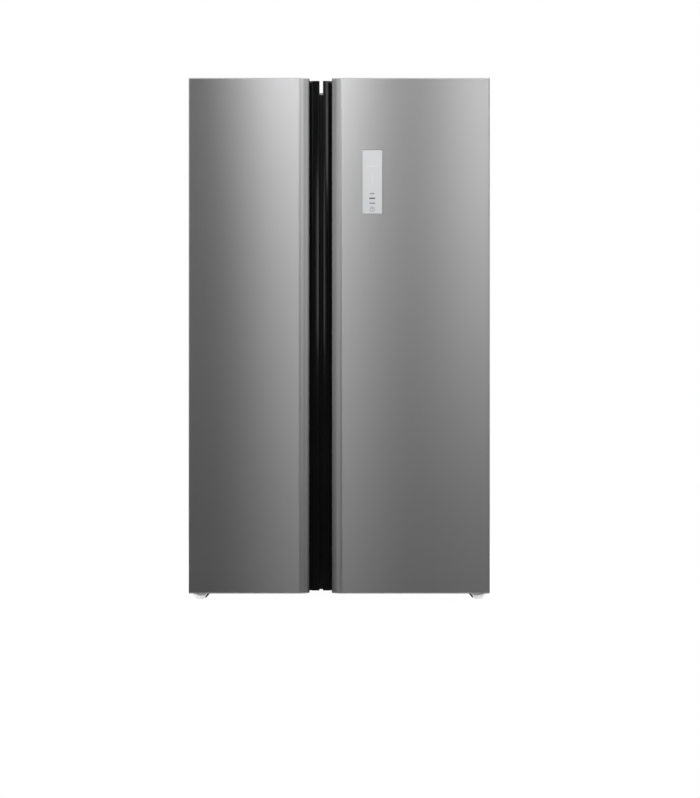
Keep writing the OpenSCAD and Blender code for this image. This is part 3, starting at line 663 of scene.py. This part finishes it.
def tub(lo, hi, wall, r, draft=0.0, lip=0.8):
    """Moulded open tray with drafted sides, rounded corners and a rolled rim."""
    h = hi[2] - lo[2]
    # Each step is an inset and a height: up the outside, over the rim and down the inside.
    steps = [(draft + 5, 0), (draft + 1.6, 1.0), (draft + 0.3, 4)]
    steps += [(lip, h - 7), (0.2, h - 5.6), (0, h - 1), (0.7, h)]
    steps += [(wall + lip - 0.4, h), (wall + lip, h - 1.2)]
    steps += [(draft + wall, wall + 6), (draft + wall + 1.6, wall + 1.8), (draft + wall + 6, wall)]
    loops = []
    for inset, z in steps:
        line = rrect(lo[0] + inset, lo[1] + inset, hi[0] - inset, hi[1] - inset, max(r - inset * 0.6, 1.5))
        loops.append(line_at((*p, lo[2] + z) for p in line))
    return loft(loops)


def door_bin(name, side):
    """Clear door bin with a raised band along its front."""
    lo, hi = door_box(name, side)
    bm = tub(lo, hi, 2.2, 12, 2.5)
    merge(bm, block((lo[0] + 10, hi[1] - 1.4, hi[2] - 36), (hi[0] - 10, hi[1], hi[2] - 12), 0.65))
    bmesh.ops.transform(bm, matrix=on_door(side), verts=bm.verts)
    piece(name + "_tray", bm, CLEAR, SIDE[side] + "_door", [name], 40)


def dairy_bin():
    """Dairy tray with the two ears that carry its cover."""
    lo, hi = door_box("dairy_bin", 1)
    bm = tub(lo, (hi[0], hi[1], lo[2] + 70), 2.2, 12, 1.5)
    ear_t, ear_r, hole_r = 5, 7.8, LID_PIN_R + 0.08
    for a in (lo[0], hi[0] - ear_t):
        ear = [(lo[1] + 1, lo[2] + 40), (lo[1] + 18, lo[2] + 40), (lo[1] + 17, lid_pin[1])]
        ear += arc(*lid_pin, ear_r, 10, 170, 12)
        hole = lathe(line_at([(hole_r, -9), (hole_r, 9)]), at((a + ear_t / 2, *lid_pin)), "X", 24)
        merge(bm, cut(prism(line_at(ear), 0, a * MM, (a + ear_t) * MM), hole))
    bmesh.ops.transform(bm, matrix=on_door(1), verts=bm.verts)
    piece("dairy_bin_tray", bm, CLEAR, "right_door", ["dairy_bin"], 40)


def dairy_cover():
    """Flip-up cover with a rolled front and two stubs."""
    lo, hi = door_box("dairy_cover", 1)
    top, tip, bottom = hi[2], hi[1], lo[2] + 1
    roll, wall = 9.0, 2.2
    outer = [(lid_pin[0], top)] + arc(tip - roll, top - roll, roll, 90, 0, 10) + [(tip, bottom)]
    inner = [(tip - wall, bottom)] + arc(tip - roll, top - roll, roll - wall, 0, 90, 10)
    inner += [(lid_pin[0], top - wall)]
    bm = prism(line_at(outer + inner), 0, (lo[0] + 5) * MM, (hi[0] - 5) * MM, 0.4 * MM)
    merge(bm, block((lo[0] + 120, tip - 3.5, lo[2] + 0.3), (hi[0] - 120, tip - 0.2, lo[2] + 5), 1.2))
    r, half, round_r = LID_PIN_R, 3.0, 0.4
    stub = [(0, -half), (r - round_r, -half), (r, round_r - half)]
    stub += [(q, -h) for q, h in stub[::-1]]
    for a in (lo[0] + half, hi[0] - half):
        merge(bm, lathe(line_at(stub), at((a, *lid_pin)), "X", 24))
    bmesh.ops.transform(bm, matrix=on_door(1), verts=bm.verts)
    piece("dairy_cover_lid", bm, CLEAR, "dairy_lid", ["dairy_cover"], 40)


for side in (-1, 1):
    steel_panel(side)
    door_foam(side)
    door_liner(side)
    gasket(side)
    for name in BINS[side]:
        if name != "dairy_bin":
            door_bin(name, side)
dairy_bin()
dairy_cover()


# ---------------------------------------------------------------- display

def display():
    """Flat face with a thin bevel, and generic marks: bars, three settings and a ring of dots."""
    lo, hi = box_mm("display_panel")
    face_y = lo.y + 0.05
    plate = block((lo.x, lo.y, lo.z), (hi.x, hi.y, hi.z), 0.7)
    piece("display_plate", plate, FACE, "right_door", ["display_panel"])
    mid = (lo.x + hi.x) / 2

    def mark(bm, x, z, w, h):
        """A thin plate on the face, round x and z."""
        low = (x - w / 2, face_y - 0.1, z - h / 2)
        merge(bm, block(low, (x + w / 2, face_y + 0.3, z + h / 2), 0.15, 1))

    def height(share):
        """A height from a share of the panel's own."""
        return lo.z + (hi.z - lo.z) * share

    dark, mid_grey, pale = bmesh.new(), bmesh.new(), bmesh.new()
    mark(pale, mid, height(0.748), 38, 1.6)
    mark(pale, mid, height(0.56), 1.4, 40)
    mark(mid_grey, mid, height(0.315), 14, 4.4)
    mark(dark, mid, height(0.243), 19, 4.6)
    mark(mid_grey, mid, height(0.166), 19, 4.4)
    for i in range(12):
        a = math.radians(30 * i)
        mark(mid_grey, mid + 6.6 * math.cos(a), height(0.072) + 6.6 * math.sin(a), 2.8, 2.8)
    mark(mid_grey, mid, height(0.08), 5, 2.6)
    piece("display_marks_dark", dark, MARK_DARK, "right_door")
    piece("display_marks_mid", mid_grey, MARK_MID, "right_door")
    piece("display_marks_pale", pale, MARK_PALE, "right_door")


display()


# ---------------------------------------------------------------- cabinet: liners, shelves and drawers

def liner(name, rear_clear):
    """Vacuum-formed compartment with rounded corners, drawer rails and shelf ledges."""
    lo, hi = box_mm(name)
    x0, x1, y0, y1, z0, z1 = lo.x + 3, hi.x - 3, lo.y + 0.4, hi.y - 3, lo.z + 3, hi.z - 3
    step_y, step_z, corner_r = 106.0, 298.0, 14  # the step over the machine compartment
    side_line = [(y0, z0), (step_y, z0), (step_y, step_z), (y1, step_z), (y1, z1), (y0, z1)]
    bm = prism(line_at(side_line), 0, x0 * MM, x1 * MM)
    inner = [e for e in bm.edges if sum(v.co.y for v in e.verts) / 2 > (y0 + 1) * MM]
    bmesh.ops.bevel(
        bm, geom=inner, offset=corner_r * MM, segments=5, profile=0.5, affect="EDGES", clamp_overlap=True
    )
    bmesh.ops.recalc_face_normals(bm, faces=bm.faces)
    mouth = [f for f in bm.faces if f.normal.y < -0.9 and f.calc_center_median().y < (y0 + 1) * MM]
    bmesh.ops.delete(bm, geom=mouth, context="FACES")
    shell = piece(name + "_shell", bm, LINER, "cabinet", [name], 40)
    wall = shell.modifiers.new("wall", "SOLIDIFY")
    wall.thickness, wall.offset = 2.4 * MM, 1.0
    weigh(shell)
    # The lip round the mouth fills the corners between the moulding and the square steel opening.
    opening, mouth_line = (lo.x, lo.z, hi.x, hi.z, 1.5, 0.1), (x0, z0, x1, z1, corner_r, 0)
    lip = ((opening, 0.1), (mouth_line, 0.1), (mouth_line, 2), (opening, 2))
    rails = loft([ring(*line, lo.y + y) for line, y in lip], closed=True)
    drawer = {"freezer_liner": "freezer_drawer_", "fridge_liner": "crisper_"}[name]
    shelf = {"freezer_liner": "freezer_shelf_", "fridge_liner": "fridge_shelf_"}[name]
    upper_z, lower_z = (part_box(drawer + k)[0].z / MM for k in ("upper", "lower"))
    back = y1 - rear_clear
    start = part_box(drawer + "upper")[0].y / MM + 2
    held = [n for n in nodes if n.startswith(shelf)] + (["crisper_lid"] if x1 > 0 else [])
    shelves = sorted(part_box(n)[0].z / MM + 6 for n in held)
    for sign, wall_x in ((1, x0), (-1, x1)):
        def bar(width, y_end, low, high, r):
            """A rail on this side wall."""
            a, b = sorted((wall_x - sign * 1.0, wall_x + sign * width))
            merge(rails, block((a, start + 6, low), (b, y_end, high), r))
        bar(20, step_y - 1, z0 - 1, lower_z - 0.4, 2)
        bar(20, back, upper_z - 9, upper_z - 0.4, 3)
        for z in shelves:
            bar(10, back, z - 9, z - 0.1, 3)
    piece(name + "_rails", rails, LINER, "cabinet", sharp=40)


def glass_shelf(name):
    """Tempered glass in a moulded trim that wraps its front and stops the food at the back."""
    lo, hi = box_mm(name)
    z = lo.z + 6
    glass = block((lo.x + 1.5, lo.y + 6, z + 0.1), (hi.x - 1.5, hi.y - 3, z + 3.9), 1.2, 3)
    piece(name + "_glass", glass, GLASS, "cabinet", [name])
    bm = bmesh.new()
    nose = (
        arc(lo.y + 5, z + 3, 5, 180, 90, 8)
        + [(lo.y + 20, z + 7.6), (lo.y + 21, z + 4), (lo.y + 12, z + 4), (lo.y + 12, z), (lo.y + 21, z)]
        + [(lo.y + 21, z - 1.6), (lo.y + 14, z - 2.4), (lo.y + 8, z - 5.8)]
        + arc(lo.y + 4, z - 2, 4, 270, 180, 6)
    )
    merge(bm, prism(line_at(nose), 0, (lo.x + 0.5) * MM, (hi.x - 0.5) * MM, 0.5 * MM))
    stop = [(hi.y - 7.5, z), (hi.y - 0.5, z), (hi.y - 0.5, z + 11)] + arc(hi.y - 2.5, z + 11.8, 2, 0, 180, 8)
    stop += [(hi.y - 4.5, z + 6)]
    merge(bm, prism(line_at(stop), 0, (lo.x + 0.5) * MM, (hi.x - 0.5) * MM, 0.4 * MM))
    piece(name + "_trim", bm, WHITE, "cabinet", sharp=40)


def drawer(name):
    """Clear drawer: a drafted tub behind a thick front with a scooped grip."""
    lo, hi = box_mm(name)
    bm = tub((lo.x, lo.y + 6, lo.z), (hi.x, hi.y, hi.z - 12), 2.4, 14, 3.0, 1.0)
    piece(name + "_tub", bm, CLEAR, name, [name], 40)
    mid = (lo.x + hi.x) / 2
    top, half = hi.z, 70.0
    grip_z = top - 20.0
    line = (
        arc(lo.x + 8, lo.z + 8, 8, 180, 270, 6)
        + arc(hi.x - 8, lo.z + 8, 8, 270, 360, 6)
        + arc(hi.x - 6, top - 6, 6, 0, 90, 6)
        + arc(mid + half + 8, top - 8, 8, 90, 180, 6)
        + arc(mid + half - 12, grip_z + 12, 12, 0, -90, 6)
        + arc(mid - half + 12, grip_z + 12, 12, -90, -180, 6)
        + arc(mid - half - 8, top - 8, 8, 0, 90, 6)
        + arc(lo.x + 6, top - 6, 6, 90, 180, 6)
    )
    fascia = loft([line_at((x, y, z) for x, z in line) for y in (lo.y, lo.y + 7.5)])
    round_ends(fascia, 1, 1.4 * MM, 3)
    low, high = (mid - half + 4, lo.y + 1, grip_z - 4), (mid + half - 4, lo.y + 13, grip_z - 1)
    merge(fascia, block(low, high, 1.4))
    piece(name + "_front", fascia, FROSTED, name, sharp=40)


def lamps():
    """Ribbed lenses in slim bezels on both ceilings."""
    lo, hi = box_mm("interior_lamps")
    lens, bezel = bmesh.new(), bmesh.new()
    for x0, x1 in ((lo.x, lo.x + 92), (hi.x - 212, hi.x)):
        merge(bezel, block((x0, lo.y, hi.z - 3), (x1, hi.y, hi.z + 0.5), 1.4))
        merge(lens, block((x0 + 4, lo.y + 4, lo.z + 1), (x1 - 4, hi.y - 4, hi.z - 1), 1.8))
        count = int((x1 - x0 - 16) / 5)
        for i in range(count):
            x = x0 + 8 + i * (x1 - x0 - 16) / (count - 1)
            merge(lens, block((x - 0.9, lo.y + 7, lo.z), (x + 0.9, hi.y - 7, lo.z + 2), 0.7, 2))
    piece("lamp_lenses", lens, LENS, "cabinet", ["interior_lamps"])
    piece("lamp_bezels", bezel, WHITE, "cabinet")


liner("freezer_liner", 67)
liner("fridge_liner", 27)
for name in [n for n in nodes if "shelf" in n] + ["crisper_lid"]:
    glass_shelf(name)
for name in ("freezer_drawer_upper", "freezer_drawer_lower", "crisper_upper", "crisper_lower"):
    drawer(name)
lamps()


# ---------------------------------------------------------------- cabinet: front strip with painted gap shade, feet and rollers

def mullion_gap_shade_strip():
    """Black strip on the cabinet's front between the two seals: a real trim that also paints the shade of the
    deep gap between the doors.
    """
    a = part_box("left_gasket")[1].x / MM + 0.6
    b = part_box("right_gasket")[0].x / MM - 0.6
    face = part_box("cabinet_shell")[0].y / MM
    # The strip runs down over the base pan's lip, as painted shade for the bottom of the door gap.
    low_z, top_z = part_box("left_door_caps")[0].z / MM - 1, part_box("cabinet_shell")[1].z / MM - 6
    strip = block((a, face - 0.6, low_z), (b, face + 0.3, top_z), 0.25, 2)
    piece("mullion_gap_shade_strip", strip, GAP_SHADE_STRIP, "cabinet")


def foot(side):
    """Tapered foot with a ribbed collar and a threaded stud."""
    name = "foot_" + SIDE[side]
    lo, hi = box_mm(name)
    centre = ((lo.x + hi.x) / 2 * MM, (lo.y + hi.y) / 2 * MM, 0)
    # The sole, the taper and the collar, from the floor up.
    profile = [(0, 0), (12.4, 0), (13.6, 0.7), (14, 2), (14, 5.6), (15.5, 6.4), (22.4, 9.3), (23.6, 10.4),
               (24, 11.6), (24, 15.4), (23.2, 17.2), (21.6, 18), (8, 18), (7.4, 19.6), (0, 19.6)]
    bm = lathe(line_at(profile), centre, n=64)
    for a in turns_of(24):
        rib = block((23.0, -1.2, 11.2), (24.0, 1.2, 16.2), 0.4, 2)
        merge(bm, rib, Matrix.Translation(centre) @ Matrix.Rotation(a, 4, "Z"))
    piece(name + "_pad", bm, WHITE, name, [name], 40)
    turns, pitch, steps = 15, 1.75, 20
    thread = [(3.9, -0.8), (4.1, -0.6), (4.94, -0.1), (4.94, 0.1), (4.1, 0.6), (3.9, 0.8)]
    mid_x, mid_y = centre[0] / MM, centre[1] / MM
    loops = []
    for i in range(turns * steps + 1):
        a = 2 * math.pi * i / steps
        z = 19 + pitch * i / steps
        loops.append(line_at((math.cos(a) * r + mid_x, math.sin(a) * r + mid_y, z + h) for r, h in thread))
    stud = loft(loops)
    core = [(0, 18), (4.15, 18), (4.15, 45.4), (3.6, 46), (0, 46)]
    merge(stud, lathe(line_at(core), centre, n=32))
    piece(name + "_stud", stud, ZINC, name, sharp=50)


def roller(side):
    """Crowned roller with two grooves and a hub."""
    name = "rear_roller_" + SIDE[side]
    lo, hi = box_mm(name)
    centre = ((lo.x + hi.x) / 2 * MM, (lo.y + hi.y) / 2 * MM, (lo.z + hi.z) / 2 * MM)
    w, r = (hi.x - lo.x) / 2, (hi.z - lo.z) / 2
    # Half of its section as (radius, height): bore, hub, web, rim and tread.
    half = [(4.1, w - 0.4), (4.6, w), (8, w), (8.6, w - 0.6), (9, w - 2.4), (14.4, w - 2.4), (15, w - 0.5),
            (15.6, w), (r - 1, w), (r - 0.2, w - 1), (r, w - 2.4), (r, 0.9), (r - 0.6, 0.3), (r - 0.6, 0)]
    line = half + [(q, -h) for q, h in half[:-1][::-1]]
    loops = [line_at((h, q * math.cos(a), q * math.sin(a)) for q, h in line) for a in turns_of(64)]
    bm = loft(loops, closed=True)
    bmesh.ops.transform(bm, matrix=Matrix.Translation(centre), verts=bm.verts)
    piece(name + "_wheel", bm, WHITE, name, [name], 40)


mullion_gap_shade_strip()
for side in (-1, 1):
    foot(side)
    roller(side)


# ---------------------------------------------------------------- cabinet: back and machine compartment

def screw():
    """Pan-head screw with a cross recess, seated at the origin and facing back."""
    r = 4.2
    profile = [(0, -1), (r, -1), (r, 0.4), (r * 0.86, 1.3), (r * 0.5, 1.9), (0, 2.0)]
    head = lathe(line_at(profile), (0, 0, 0), "Z", 24)
    for turn in (0, 90):
        groove = block((-r * 0.55, -0.45, 1.0), (r * 0.55, 0.45, 3.0))
        bmesh.ops.rotate(groove, verts=groove.verts, matrix=Matrix.Rotation(math.radians(turn), 3, "Z"))
        head = cut(head, groove)
    bmesh.ops.transform(head, matrix=quarter("X", -1), verts=head.verts)
    return head


def rear_sheet():
    """Back sheet with pressed panels and two wall spacers."""
    lo, hi = box_mm("back_panel")
    y = rear_face
    bm = block((lo.x, y - 1, lo.z), (hi.x, y, hi.z), 0.3, 1)
    merge(bm, block((lo.x, y - 0.9, lo.z - 3.5), (hi.x, y + 0.15, lo.z + 1)))
    for x0, x1 in ((lo.x, lo.x + 6), (hi.x - 6, hi.x)):
        merge(bm, block((x0, y - 0.9, lo.z - 46), (x1, y + 0.15, lo.z - 3)))
    rows = 4
    pitch = (hi.z - lo.z - 60) / rows
    for i in range(rows):
        z = lo.z + 30 + i * pitch
        for x0, x1 in ((-300, -14), (14, 300)):
            steps = [(0, -0.4), (1.5, 0.2), (5, 2.0), (7, 2.4)]
            frame_line = [ring(x0, z + 12, x1, z + pitch - 12, 22, inset, y + h) for inset, h in steps]
            merge(bm, loft(frame_line))
    piece("back_sheet", bm, ZINC, "cabinet", ["back_panel"], 40)
    spacers = bmesh.new()
    for sign in (-1, 1):
        x0, x1 = sorted((sign * 330, sign * 360))
        steps = [(0, -0.3), (0, 6.5), (1.5, 8.8), (4, 10)]
        loops = [ring(x0, 700, x1, 1400, 9, inset, y + h) for inset, h in steps]
        merge(spacers, loft(loops))
    piece("wall_spacers", spacers, DARK, "cabinet", sharp=40)


def rear_screws():
    """Screw heads round the back sheet, the rear cover and the board cover."""
    y = rear_face
    lo, hi = box_mm("machine_cover")
    one = screw()
    template = bpy.data.meshes.new("screw")
    one.to_mesh(template)
    one.free()
    # Down the back sheet's sides, along its top, round the rear cover and on the board cover.
    places = [(x, y, z) for x in (-462, 462) for z in range(340, 1620, 210)]
    places += [(x, y, 1614) for x in (-300, -100, 100, 300)]
    places += [(x, y, z) for x in (lo.x + 8, -230, 0, 230, hi.x - 8) for z in (lo.z + 8, hi.z - 8)]
    places += [(x, y + 8, z) for x in (68, 272) for z in (1428, 1562)]
    heads = bmesh.new()
    for place in places:
        copy = bmesh.new()
        copy.from_mesh(template)
        merge(heads, copy, Matrix.Translation(at(place)))
    bpy.data.meshes.remove(template)
    piece("rear_screws", heads, FINS, "cabinet")


def louvres():
    """Pressed hoods over the rear cover's slots."""
    y = rear_face
    bm = bmesh.new()
    hood = [(-1, 7.4), (0, 8), (1.6, 7.2), (3, 5.4), (3.6, 3), (3.0, 3), (2.4, 4.9), (1.2, 6.4), (-0.4, 7.0)]
    slot_w, slot_step, row_step, first_z = 100, 120, 18, 75.4
    for row in range(9):
        for column in range(-3, 3):
            x = column * slot_step + 10
            z = row * row_step + first_z
            outline = line_at((y + v, z + h) for v, h in hood)
            merge(bm, prism(outline, 0, (x - 1) * MM, (x + slot_w + 1) * MM))
    piece("rear_cover_louvres", bm, ZINC, "cabinet", sharp=50)
    profile = [(5.3, -1), (5.3, 9.4), (6, 9.9), (10, 9.9), (10.6, 9.2), (11.4, 6), (13.6, 5), (14.4, 3.6),
               (14.6, 0), (14.6, -1)]
    gland = lathe(line_at(profile), at((380, y - 2.6, 90)), "Y", 40)
    piece("lead_gland", gland, DARK, "cabinet", sharp=40)


def board_cover():
    """Rounded cover of the main board with ribs."""
    lo, hi = box_mm("control_board_cover")
    steps = [(0, -0.3), (0, 4.5), (1, 6.8), (3, 8)]
    bm = loft([ring(lo.x, lo.z, hi.x, hi.z, 10, inset, lo.y + h) for inset, h in steps])
    for i in range(9):
        z = lo.z + 26 + i * 12
        merge(bm, block((lo.x + 26, hi.y - 1, z), (hi.x - 26, hi.y + 0.9, z + 4), 0.8, 2))
    piece("board_cover", bm, DARK, "cabinet", ["control_board_cover"], 40)


def compressor():
    """Welded pot with a seam, its base, mounts and starter box."""
    c = (-230.0, 250.0)
    corners = [(c[0] + x, c[1] + y) for x in (-66, 66) for y in (-61, 61)]
    pot = [(0, 60), (58, 60), (66, 62.5), (71, 68), (72, 74), (72, 128), (73.6, 129), (73.6, 134)]
    pot += [(71.4, 135), (71, 170), (69, 182), (63, 194), (52, 203), (36, 208), (18, 209.6), (0, 210)]
    bm = lathe(line_at(pot), at((*c, 0)), n=72)
    piece("compressor_pot", bm, ENAMEL, "cabinet", ["compressor"], 40)
    base = block((c[0] - 79, c[1] - 74, 55), (c[0] + 79, c[1] + 74, 60.5), 2)
    bolt = [(0, 60), (7, 60), (7, 64), (3, 64), (3, 68), (0, 68)]
    for corner in corners:
        merge(base, lathe(line_at(bolt), at((*corner, 0)), n=24))
    piece("compressor_base", base, ENAMEL, "cabinet")
    mounts = bmesh.new()
    grommet = [(0, 46), (11, 46), (11, 48.5), (8.4, 50), (8.4, 51.5), (11, 53), (11, 55.5), (0, 55.5)]
    for corner in corners:
        merge(mounts, lathe(line_at(grommet), at((*corner, 0)), n=32))
    piece("compressor_mounts", mounts, RUBBER, "cabinet")
    box = block((c[0] - 97, c[1] - 26, 96), (c[0] - 62, c[1] + 26, 152), 4)
    merge(box, block((c[0] - 98.5, c[1] - 18, 104), (c[0] - 96, c[1] + 18, 144), 1))
    piece("starter_box", box, DARK, "cabinet")


def tube(path, r, bend, sides=20):
    """A round tube along a line of points with rounded corners."""
    points = [Vector(path[0])]
    for before, here, after in zip(path, path[1:], path[2:]):
        here = Vector(here)
        a = (Vector(before) - here).normalized()
        b = (Vector(after) - here).normalized()
        for i in range(9):
            t = i / 8
            points.append(here + a * bend * (1 - t) ** 2 + b * bend * t ** 2)
    points.append(Vector(path[-1]))
    loops = []
    normal = None
    for i, p in enumerate(points):
        ahead = points[min(i + 1, len(points) - 1)] - points[max(i - 1, 0)]
        ahead.normalize()
        if normal is None:
            normal = ahead.orthogonal()
        normal = (normal - ahead * normal.dot(ahead)).normalized()
        other = ahead.cross(normal)
        loops.append(line_at(p + r * (normal * math.cos(a) + other * math.sin(a)) for a in turns_of(sides)))
    return loft(loops)


def pipes():
    """Discharge line, liquid line and the filter drier."""
    bm = tube([(-230, 200, 200), (-230, 200, 246), (90, 200, 246), (90, 184, 212), (110, 184, 212)], 4, 14)
    merge(bm, tube([(399, 296, 80), (424, 296, 80), (424, 296, 220), (424, 200, 246)], 4, 14))
    drier = [(4, 104), (7, 108), (10.4, 113), (11, 116), (11, 184), (10.4, 187), (7, 192), (4, 196)]
    merge(bm, lathe(line_at(drier), at((424, 296, 0)), n=32))
    piece("copper_lines", bm, COPPER, "cabinet", ["refrigerant_pipes"], 45)


def rotor(name, axis, r, hub, h, blades, chord, finish):
    """Fan wheel: a domed hub and twisted, cambered blades."""
    lo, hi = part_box(name)
    centre = (lo + hi) / 2
    shaft = 3.1
    line = [(shaft, -h / 2), (hub - 1, -h / 2), (hub, -h / 2 + 1)]
    line += [(hub, h / 2 - 2), (hub - 2, h / 2), (shaft, h / 2)]
    loops = [line_at((z, q * math.cos(a), q * math.sin(a)) for q, z in line) for a in turns_of(48)]
    bm = loft(loops, closed=True)
    for blade_turn in turns_of(blades):
        sections = []
        for i in range(9):
            t = i / 8
            radius = hub - 1 + (r - hub + 1) * t
            twist = math.radians(40 - 12 * t)
            c = chord * (0.72 + 0.28 * math.sin(math.pi * min(t * 1.15, 1)))
            loop = []
            for q in turns_of(16):
                u = c / 2 * math.cos(q)
                w = (1.1 - 0.5 * t) * math.sin(q) + 1.4 * (1 - (2 * u / c) ** 2)
                axial = u * math.sin(twist) - w * math.cos(twist)
                swept = u * math.cos(twist) + w * math.sin(twist) + 4 * t
                turn = swept / max(radius, 1)
                loop.append(at((axial, radius * math.sin(turn), radius * math.cos(turn))))
            sections.append(loop)
        merge(bm, loft(sections), Matrix.Rotation(blade_turn, 4, "X"))
    turn = Matrix() if axis == "X" else quarter("Z")
    bmesh.ops.transform(bm, matrix=Matrix.Translation(centre) @ turn, verts=bm.verts)
    piece(name + "_wheel", bm, finish, name, [name], 40)


rear_sheet()
rear_screws()
louvres()
board_cover()
compressor()
pipes()
rotor("condenser_fan", "X", 73, 20, 16, 5, 20, GREY)
rotor("evaporator_fan", "Y", 54, 15, 11, 5, 14, DARK)
